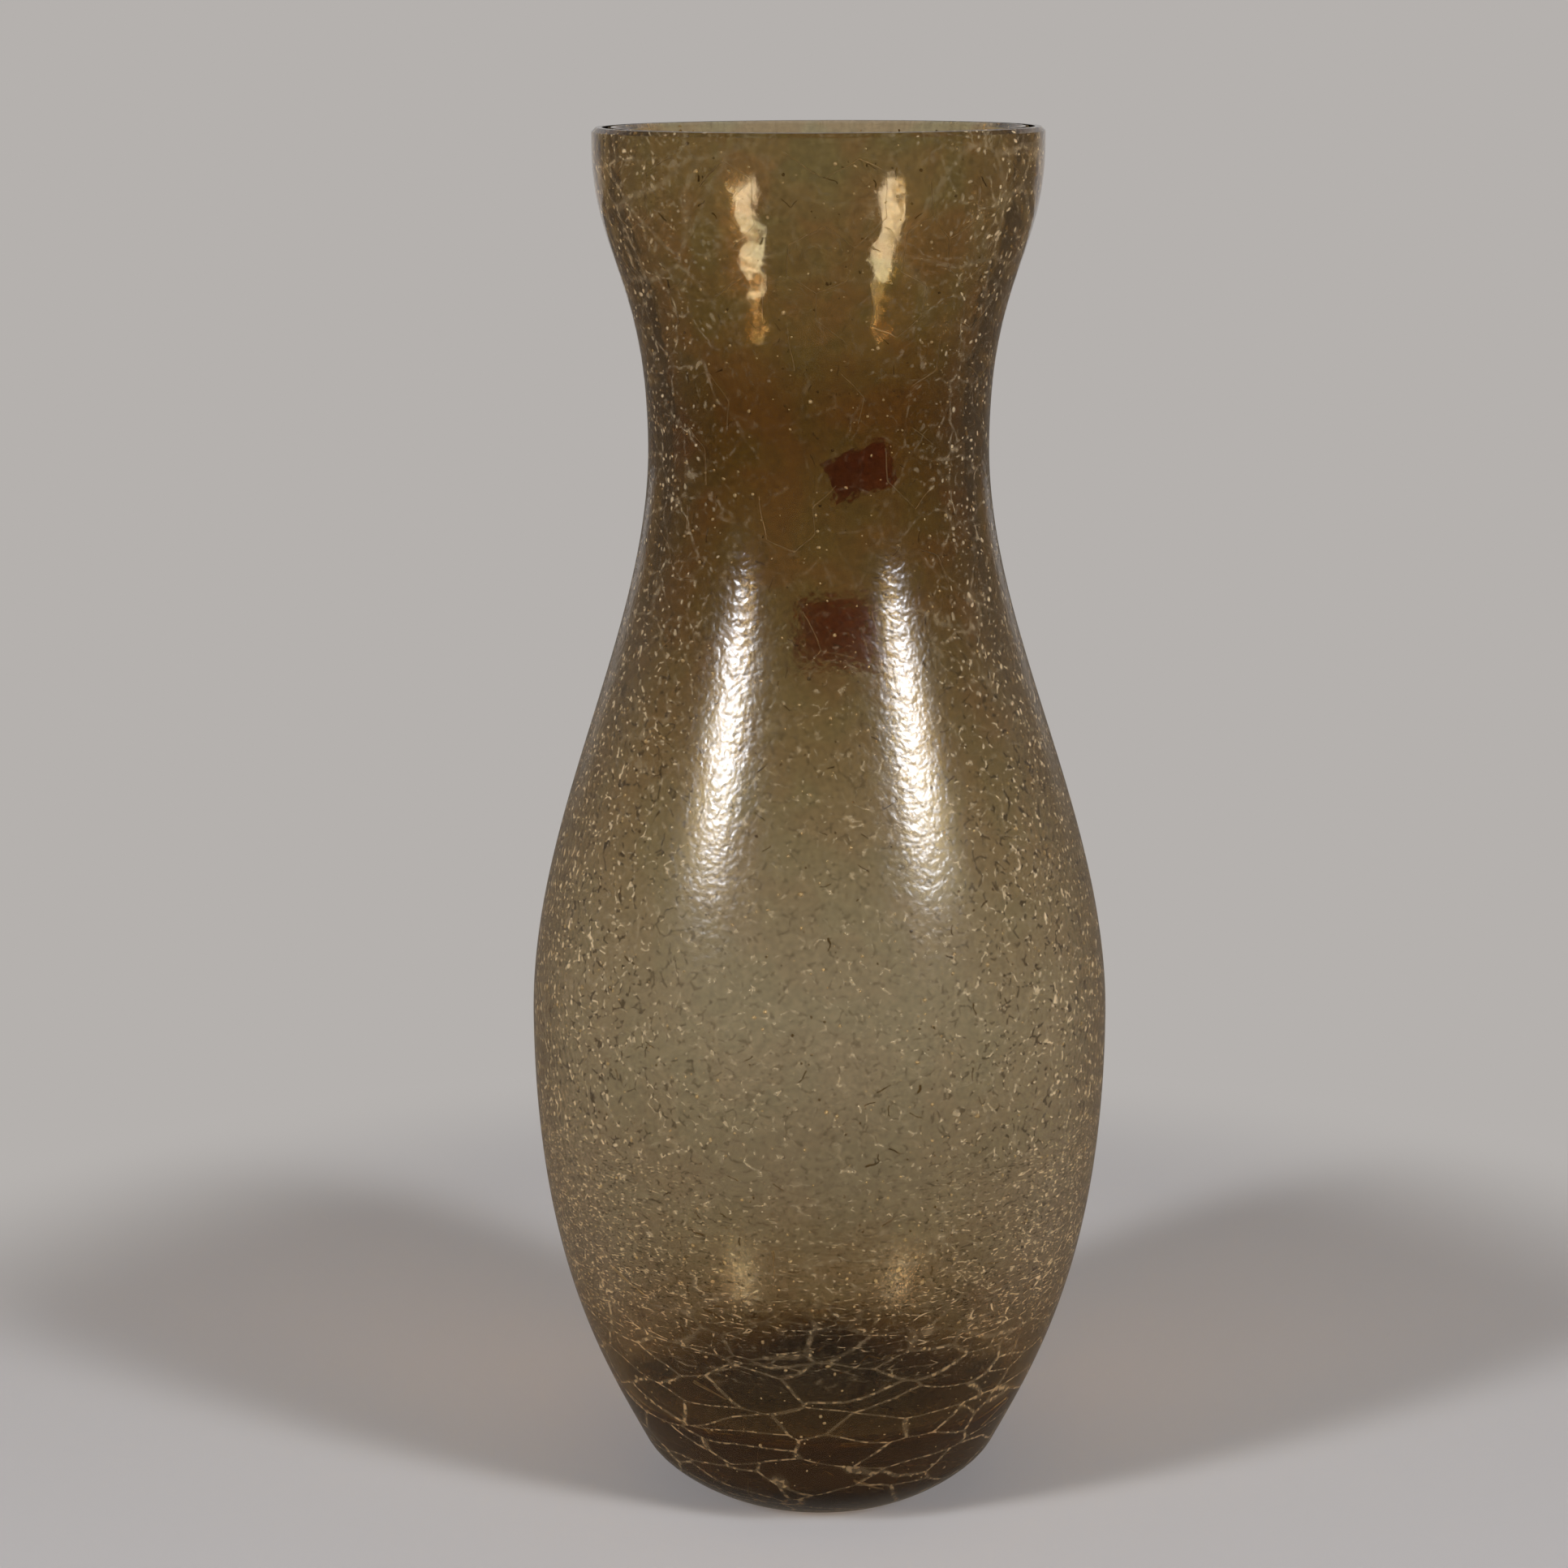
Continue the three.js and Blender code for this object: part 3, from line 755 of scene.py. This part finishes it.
def fracture_material(name, passed, torn, matt_share):
    """A crack in glass: a thin film of air between two torn faces. Light passes it, is mirrored where it
    grazes it, and is scattered by the torn faces, whose share fades towards the outline of each crack."""
    material, tree = new_material(name)
    from_inside = add(tree, "ShaderNodeNewGeometry").outputs["Backfacing"]
    index = add(tree, MATH, [
        from_inside, GLASS_INDEX - 1 / GLASS_INDEX, 1 / GLASS_INDEX,
    ], operation="MULTIPLY_ADD")
    mirrored = add(tree, "ShaderNodeFresnel", {"IOR": index})
    film = add(tree, MIXED_LIGHT, [
        add(tree, MATH, [mirrored, 0.5], operation="MULTIPLY"),
        add(tree, "ShaderNodeBsdfTransparent", {"Color": linear(passed)}),
        add(tree, "ShaderNodeBsdfAnisotropic", {"Color": linear(torn), "Roughness": 0.35}),
    ])
    matt = add(tree, MIXED_LIGHT, [
        0.5,
        add(tree, "ShaderNodeBsdfDiffuse", {"Color": linear(torn)}),
        add(tree, "ShaderNodeBsdfTranslucent", {"Color": linear(torn)}),
    ])
    turned_away = add(tree, "ShaderNodeLayerWeight", {"Blend": 0.5}).outputs["Facing"]
    turned_here = add(tree, MATH, [1.0, turned_away], operation="SUBTRACT")
    fading = add(tree, MATH, [turned_here, 2.0], operation="POWER")
    crack = add(tree, MIXED_LIGHT, [
        add(tree, MATH, [fading, matt_share], operation="MULTIPLY"), film, matt,
    ])
    in_shadow = add(tree, "ShaderNodeLightPath").outputs["Is Shadow Ray"]
    passing = add(tree, "ShaderNodeBsdfTransparent", {"Color": WHITE})
    add(tree, "ShaderNodeOutputMaterial", {
        "Surface": add(tree, MIXED_LIGHT, [in_shadow, crack, passing]),
    })
    return material


bright_tear = fracture_material("bright_torn_glass", "#F4EEE4", "#DCC494", 0.5)
pale_film = fracture_material("pale_crack_film", "#F0E8DA", "#D8C29A", 0.14)
dark_film = fracture_material("dark_crack_film", "#CABC9C", "#8C744C", 0.1)


def paper_material():
    """Thin reddish label paper, which lets light through: slightly cloudy, with fibres 0.3 mm across."""
    material, tree = new_material("red_label_paper")
    tone = add(tree, "ShaderNodeMix", {
        "Factor": grain(tree, 6 * MM, 4.0), FIRST: linear("#F0BFA4"), SECOND: linear("#F8CCB2"),
    }, **COLOURS)
    fibres = add(tree, "ShaderNodeBump", {
        "Strength": 0.4, "Distance": 0.03 * MM, "Height": grain(tree, 0.3 * MM, 3.0),
    })
    paper = add(tree, "ShaderNodeBsdfPrincipled", {"Base Color": tone, "Roughness": 0.7, "Normal": fibres})
    shining_through = add(tree, "ShaderNodeBsdfTranslucent", {"Color": tone})
    add(tree, "ShaderNodeOutputMaterial", {
        "Surface": add(tree, MIXED_LIGHT, [0.7, paper, shining_through]),
    })
    return material


label_paper = paper_material()

# Pieces of the vase

turn = turning_tree()


def shell(name, outer, inner, material, node):
    """A closed shell of glass turned on the axis, between an outer and an inner surface that meet at the
    rim."""
    piece = grown(name, turn, outline_mesh(name + "_outline", outer + inner[::-1]), {
        "Outside points": len(outer), "Material": material,
    })
    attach(piece, "root")
    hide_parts(node)
    return piece


shell("clear_casing", bevelled(outside, -1), casing_inside,
      clear_glass, "clear_outer_casing")
shell("amber_layer", amber_outside, bevelled(cavity, 1),
      amber_glass, "amber_inner_layer")

crackle = crack_tree()
scatter = fleck_tree()
cracked_top = rim.y - CLEAR_RIM


def cracked_outline(name, low, high):
    """The outside of the amber glass between two heights, as a line of edges."""
    within = [point for point in amber_outside if low <= point.y <= high and point.x > CRACKED_RADIUS]
    return outline_mesh(name + "_outline", within)


def cracks(name, low, high, material, sizes):
    """Cracks near the outside of the amber glass, between two heights. They lean and are buried alike."""
    piece = grown(name, crackle, cracked_outline(name, low, high), {
        "Lean": 0.8, "Buried": 0.1 * MM, "Material": material, **sizes,
    })
    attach(piece, "root")
    return piece


cracked_wall = grown("cracked_wall", turn, cracked_outline("cracked_wall", CRACKED_FROM, cracked_top), {})
cracked_surface = cracked_wall.data
bpy.data.objects.remove(cracked_wall)


def flecks(name, material, sizes):
    """Flecks at a depth below the outside of the amber glass, or in the casing over it where the depth is
    negative."""
    piece = grown(name, scatter, cracked_surface, {"Smallest": 0.2 * MM, "Material": material, **sizes})
    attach(piece, "root")
    return piece


flecks("bright_flecks", bright_tear, {
    "For each square metre": 16000.0, "Largest": 0.6 * MM, "Below surface": -0.5 * MM, "Seed": 11,
})
flecks("dark_flecks", dark_film, {
    "For each square metre": 9000.0, "Largest": 0.5 * MM, "Below surface": 0.6 * MM, "Seed": 41,
})
cracks("dark_cracks", CRACKED_FROM, cracked_top, dark_film, {
    "Cell": 5 * MM, "Kept low": 0.05, "Kept middle": 0.03, "Kept high": 0.015, "Middle at": 0.45,
    "Step": 0.6 * MM, "Wave": 3.5 * MM, "Wander": 0.7 * MM,
    "Depth": 0.8 * MM, "Opening": 0.25 * MM, "Seed": 5,
})
cracks("large_bottom_cracks", 4 * MM, 110 * MM, pale_film, {
    "Around": math.tau * 58 * MM, "Cell": 19 * MM, "Kept low": 0.12, "Kept middle": 0.15, "Kept high": 0.1,
    "Step": 1.2 * MM, "Wave": 9 * MM, "Wander": 0.9 * MM,
    "Depth": 1.2 * MM, "Opening": 0.2 * MM, "Seed": 23,
})
cracks("large_top_cracks", 250 * MM, cracked_top, pale_film, {
    "Around": math.tau * 55 * MM, "Cell": 15 * MM, "Kept low": 0.15, "Kept middle": 0.3, "Kept high": 0.5,
    "Step": 1.0 * MM, "Wave": 12 * MM, "Wander": 0.7 * MM,
    "Depth": 0.6 * MM, "Opening": 0.2 * MM, "Seed": 31,
})

# Labels

for node in ("neck_label", "shoulder_label"):
    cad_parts[node].data.materials.clear()
    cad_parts[node].data.materials.append(label_paper)

# Stage


def mirrored_rays(tree):
    """One for light that has met a mirroring surface on its way, and zero for all other."""
    depth = add(tree, "ShaderNodeLightPath").outputs["Glossy Depth"]
    return add(tree, MATH, [depth, 0.5], operation="GREATER_THAN")


def bent_rays(tree):
    """One for rays that glass has bent or mirrored, and zero for light that scatters."""
    path = add(tree, "ShaderNodeLightPath").outputs
    return add(tree, MATH, [path["Is Glossy Ray"], path["Is Transmission Ray"]], operation="MAXIMUM")


def seen_rays(tree):
    """One for the camera's rays and for rays that glass has bent or mirrored, and zero for other light."""
    from_camera = add(tree, "ShaderNodeLightPath").outputs["Is Camera Ray"]
    return add(tree, MATH, [from_camera, bent_rays(tree)], operation="MAXIMUM")


def backdrop_colour(tree, direction):
    """The colour that the camera, and light bent by glass, meet all round. Reflections meet it only where
    a real paper backdrop hangs, behind the vase, and meet the dark room elsewhere."""
    parts = add(tree, "ShaderNodeSeparateXYZ", [direction]).outputs
    level = add(tree, "ShaderNodeCombineXYZ", [parts["X"], parts["Y"]])
    pointing = add(tree, VECTORS, [level], operation="NORMALIZE")
    off_paper = add(tree, RANGE, {
        "Value": add(tree, "ShaderNodeSeparateXYZ", [pointing]).outputs["Y"],
        "From Min": math.cos(PAPER_EDGE[0]), "From Max": math.cos(PAPER_EDGE[1]),
    }, **SOFT)
    return add(tree, "ShaderNodeMix", {
        "Factor": add(tree, MATH, [mirrored_rays(tree), off_paper], operation="MULTIPLY"),
        FIRST: linear(BACKDROP), SECOND: linear(DARK_ROOM),
    }, **COLOURS)


def floor_material():
    """Matt grey paper: lit by the lamps near the vase, passing into the plain backdrop further out, and
    darker in reflections."""
    material, tree = new_material("grey_background_paper")
    place = add(tree, "ShaderNodeTexCoord").outputs["Object"]
    far = add(tree, RANGE, {
        "Value": add(tree, VECTORS, [place], operation="LENGTH"),
        "From Min": OPEN_FLOOR, "From Max": FAR_FLOOR,
    }, **SOFT)
    open_floor = add(tree, MIXED_LIGHT, [
        add(tree, MATH, [far, seen_rays(tree)], operation="MULTIPLY"),
        add(tree, "ShaderNodeBsdfDiffuse", {"Color": linear(BACKDROP)}),
        add(tree, "ShaderNodeEmission", {"Color": backdrop_colour(tree, place)}),
    ])
    mixed = add(tree, MIXED_LIGHT, [
        add(tree, MATH, [mirrored_rays(tree), MIRRORED_DIM], operation="MULTIPLY"),
        open_floor,
        add(tree, "ShaderNodeEmission", {"Color": linear(DARK_ROOM)}),
    ])
    add(tree, "ShaderNodeOutputMaterial", {"Surface": mixed})
    return material


floor_bearings = [math.tau * i / FLOOR_SIDES for i in range(FLOOR_SIDES)]
floor_edge = [(FLOOR_RADIUS * math.cos(a), FLOOR_RADIUS * math.sin(a), 0) for a in floor_bearings]
floor_mesh = bpy.data.meshes.new("studio_floor")
floor_mesh.from_pydata(floor_edge, [], [list(range(FLOOR_SIDES))])
floor_mesh.materials.append(floor_material())
floor = bpy.data.objects.new("studio_floor", floor_mesh)
bpy.context.scene.collection.objects.link(floor)

world = bpy.data.worlds.new("studio")
world.use_nodes = True
world.node_tree.nodes.clear()
sky = world.node_tree
direction = add(sky, "ShaderNodeTexCoord").outputs["Generated"]
facing_back = add(sky, RANGE, {
    "Value": add(sky, "ShaderNodeSeparateXYZ", [direction]).outputs["Y"],
    "From Min": -0.2, "From Max": 0.5, "To Min": FRONT_FILL, "To Max": BACK_FILL,
}, **SOFT)
add(sky, "ShaderNodeOutputWorld", {"Surface": add(sky, MIXED_LIGHT, [
    seen_rays(sky),
    add(sky, "ShaderNodeBackground", {"Color": linear("#F4F2EF"), "Strength": facing_back}),
    add(sky, "ShaderNodeBackground", {"Color": backdrop_colour(sky, direction)}),
])})
bpy.context.scene.world = world


def softbox_light(name, width, brightness):
    """A softbox, brightest in its middle. It stays unseen straight through the glass, as it does from the
    front, and shines brighter in reflections, where the photograph shows it white."""
    lamp = bpy.data.lights.new(name, "AREA")
    lamp.shape = "RECTANGLE"
    lamp.size, lamp.size_y = width, LAMP_HEIGHT
    lamp.energy = width * LAMP_HEIGHT * math.pi
    lamp.use_nodes = True
    tree = lamp.node_tree
    tree.nodes.clear()
    mirrored = mirrored_rays(tree)
    bent = add(tree, "ShaderNodeLightPath").outputs["Is Transmission Ray"]
    not_mirrored = add(tree, MATH, [1.0, mirrored], operation="SUBTRACT")
    straight = add(tree, MATH, [bent, not_mirrored], operation="MULTIPLY")
    across = add(tree, "ShaderNodeSeparateXYZ", [
        add(tree, "ShaderNodeNewGeometry").outputs["Parametric"],
    ]).outputs
    glow = brightness * SOFT_EDGE
    for axis in ("X", "Y"):
        off_middle = add(tree, MATH, [across[axis], 0.5], operation="SUBTRACT")
        band = add(tree, RANGE, {
            "Value": add(tree, MATH, [off_middle], operation="ABSOLUTE"),
            "From Max": 0.5, "To Min": 1.0, "To Max": 0.0,
        }, **SOFT)
        glow = add(tree, MATH, [glow, band], operation="MULTIPLY")
    in_reflections = add(tree, MATH, [bent_rays(tree), mirrored], operation="MULTIPLY")
    shine = add(tree, MATH, [in_reflections, SHINE - 1.0, 1.0], operation="MULTIPLY_ADD")
    seen = add(tree, MATH, [1.0, straight], operation="SUBTRACT")
    for share in (shine, seen):
        glow = add(tree, MATH, [glow, share], operation="MULTIPLY")
    add(tree, "ShaderNodeOutputLight", {
        "Surface": add(tree, "ShaderNodeEmission", {"Color": linear("#F9FAFF"), "Strength": glow}),
    })
    return lamp


for name, side in (("left", -1), ("right", 1)):
    softbox = bpy.data.objects.new(
        name + "_softbox", softbox_light(name + "_softbox", LAMP_WIDTH[name], LAMP_GLOW[name]))
    towards = Vector((
        side * math.sin(LAMP_BEARING) * math.cos(LAMP_ELEVATION),
        -math.cos(LAMP_BEARING) * math.cos(LAMP_ELEVATION),
        math.sin(LAMP_ELEVATION),
    ))
    softbox.location = LIT_MIDDLE + towards * LAMP_DISTANCE
    softbox.rotation_euler = (-towards).to_track_quat("-Z", "Y").to_euler()
    softbox.visible_camera = False
    bpy.context.scene.collection.objects.link(softbox)

# Camera

camera = bpy.data.cameras.new("camera")
camera.sensor_width = SENSOR_WIDTH
camera.lens = FOCAL_PIXELS / PHOTO_SIDE * SENSOR_WIDTH
camera_object = bpy.data.objects.new("camera", camera)
aside = math.atan((AXIS_PIXEL - PHOTO_SIDE / 2) / FOCAL_PIXELS)
camera_object.location = (0, -CAMERA_DISTANCE, CAMERA_HEIGHT)
camera_object.rotation_euler = (math.pi / 2 - CAMERA_PITCH, CAMERA_ROLL, aside)
bpy.context.scene.collection.objects.link(camera_object)
bpy.context.scene.camera = camera_object

scene = bpy.context.scene
scene.view_settings.view_transform = "Standard"
scene.cycles.max_bounces = 24
scene.cycles.transmission_bounces = 20
scene.cycles.glossy_bounces = 10
scene.cycles.transparent_max_bounces = 64
